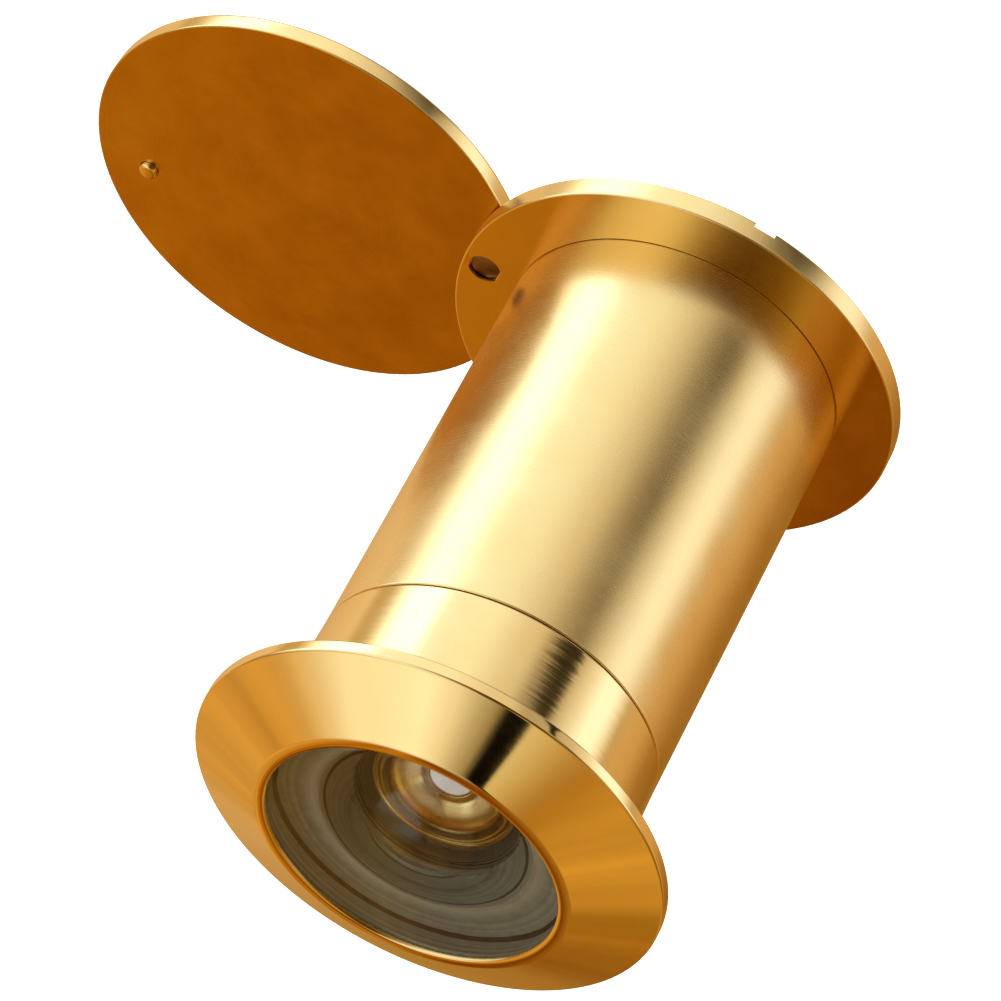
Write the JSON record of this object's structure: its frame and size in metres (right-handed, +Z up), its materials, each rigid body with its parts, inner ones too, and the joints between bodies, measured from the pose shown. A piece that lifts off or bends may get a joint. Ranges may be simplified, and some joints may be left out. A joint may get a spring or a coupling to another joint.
{
  "type": "door viewer",
  "caption": "Wide-angle door viewer: bezelled lens barrel that screws into a flanged indoor tube, with a swing cover riveted to the flange",
  "frame": {"origin": "on the barrel's axis, in the plane of the bezel's back face, which rests on the outside of the door", "axes": "+Y runs along the barrel from outdoors to indoors, +Z is up, +X is to the right of someone outdoors who looks at the bezel"},
  "size_m": [0.0664, 0.0534, 0.0373],
  "materials": {
    "polished_gold": "gold-plated brass, polished, with fine turning lines",
    "satin_gold": "gold-plated brass, satin",
    "spring_steel": "spring steel, bright",
    "lens_glass": "clear optical glass, polished",
    "grey_plastic": "moulded, matte grey"
  },
  "bodies": {
    "outdoor_unit": {"outdoor_barrel": "polished_gold", "front_lens": "lens_glass", "front_spacer": "grey_plastic", "second_lens": "lens_glass", "rear_spacer": "satin_gold", "third_lens": "lens_glass"},
    "eyepiece": {"eyepiece_lens": "lens_glass"},
    "indoor_unit": {"indoor_barrel": "satin_gold", "indoor_flange": "polished_gold", "eyepiece_ring": "polished_gold", "pivot_rivet": "polished_gold", "spring_washer": "spring_steel"},
    "swing_cover": {"cover": "polished_gold", "cover_peg": "polished_gold"}
  },
  "joints": [
    {"name": "barrel_extend", "type": "slide", "parent": "outdoor_unit", "child": "eyepiece", "axis": [0, 1, 0], "range_m": [0, 0.012]},
    {"name": "barrel_turn", "type": "hinge", "parent": "eyepiece", "child": "indoor_unit", "pos_m": [0, 0, 0], "axis": [0, 1, 0], "range_deg": [0, 2880]},
    {"name": "cover_swing", "type": "hinge", "parent": "indoor_unit", "child": "swing_cover", "pos_m": [-0.01508, 0.0466, 0.00435], "axis": [0, 1, 0], "range_deg": [-154.7, 205.3]}
  ],
  "couplings": [
    {"joint": "barrel_extend", "follows": "barrel_turn", "m_per_rad": 0.00023873}
  ]
}
